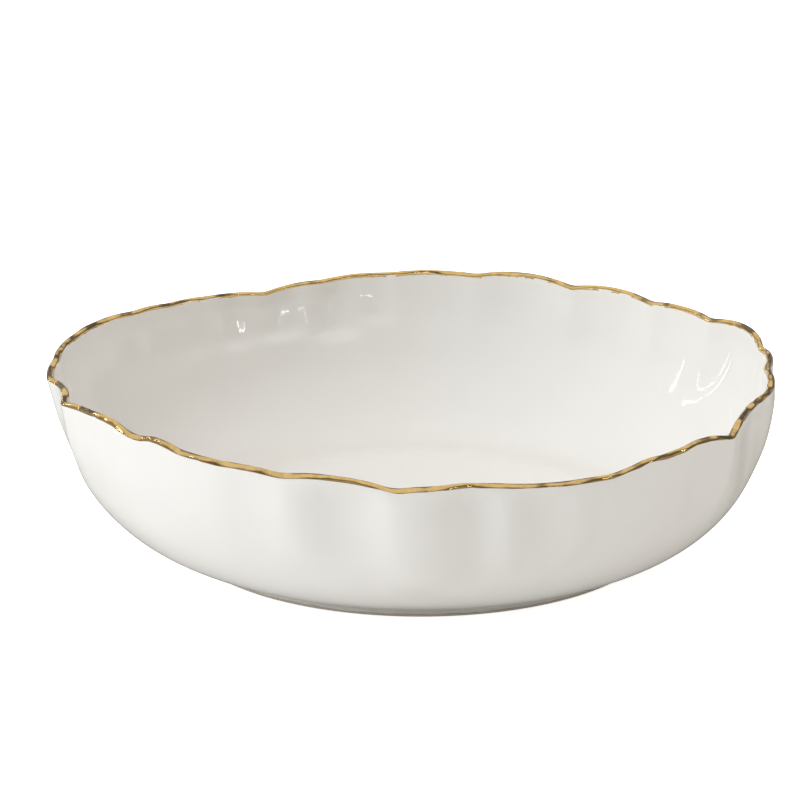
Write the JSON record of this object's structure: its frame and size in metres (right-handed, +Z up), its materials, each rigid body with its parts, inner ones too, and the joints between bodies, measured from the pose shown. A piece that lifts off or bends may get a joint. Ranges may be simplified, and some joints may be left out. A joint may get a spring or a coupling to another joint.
{
  "type": "porcelain serving bowl",
  "caption": "Low, wide white porcelain serving bowl with a softly scalloped, hand-formed lip, a gilded edge and a bare foot ring to stand on.",
  "frame": {"origin": "on the table, under the middle of the lip", "axes": "+Z up out of the bowl, -Z the way the foot faces; +X is the side that the foot is offset towards, -Y is the side where the lip dips lowest"},
  "size_m": [0.3086, 0.3075, 0.0766],
  "materials": {
    "white_glaze": "clear glossy glaze over warm white porcelain",
    "bare_porcelain": "unglazed fired porcelain, matt",
    "gold_lustre": "bright burnished gold lustre, brushed on by hand"
  },
  "bodies": {
    "root": {"bowl_body": "white_glaze", "foot_ring": "bare_porcelain", "rim_gilding": "gold_lustre"}
  },
  "joints": []
}
